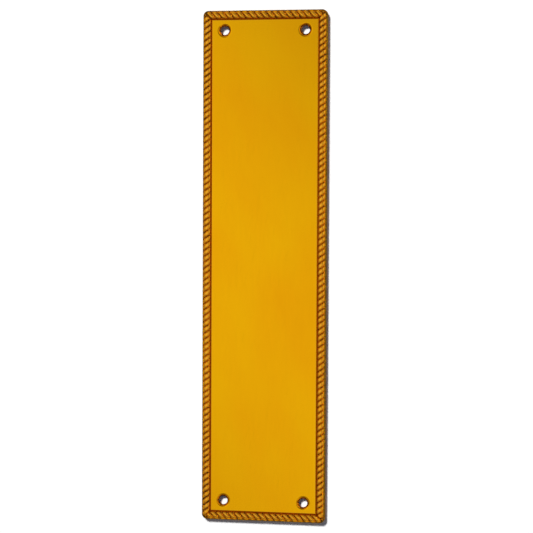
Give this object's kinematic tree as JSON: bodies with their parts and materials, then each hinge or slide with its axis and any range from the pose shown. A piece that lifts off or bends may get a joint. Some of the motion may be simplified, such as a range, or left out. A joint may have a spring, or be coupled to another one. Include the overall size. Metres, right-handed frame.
{
  "type": "door finger plate",
  "caption": "Tall pressed brass push plate with a flat polished panel, a raised rope border, a sunk line inside the rope and dished corner screw holes; protects a door where hands push it.",
  "frame": {"origin": "centre of the plate's back, on the plane where its rim meets the door", "axes": "+Z out of the plate's face, away from the door; +Y along the plate's length, up the door; +X across it"},
  "size_m": [0.073, 0.298, 0.0042],
  "materials": {
    "brass": "polished, lacquered yellow brass with darker grooves in the rope"
  },
  "bodies": {
    "root": {"finger_plate": "brass"}
  },
  "joints": []
}
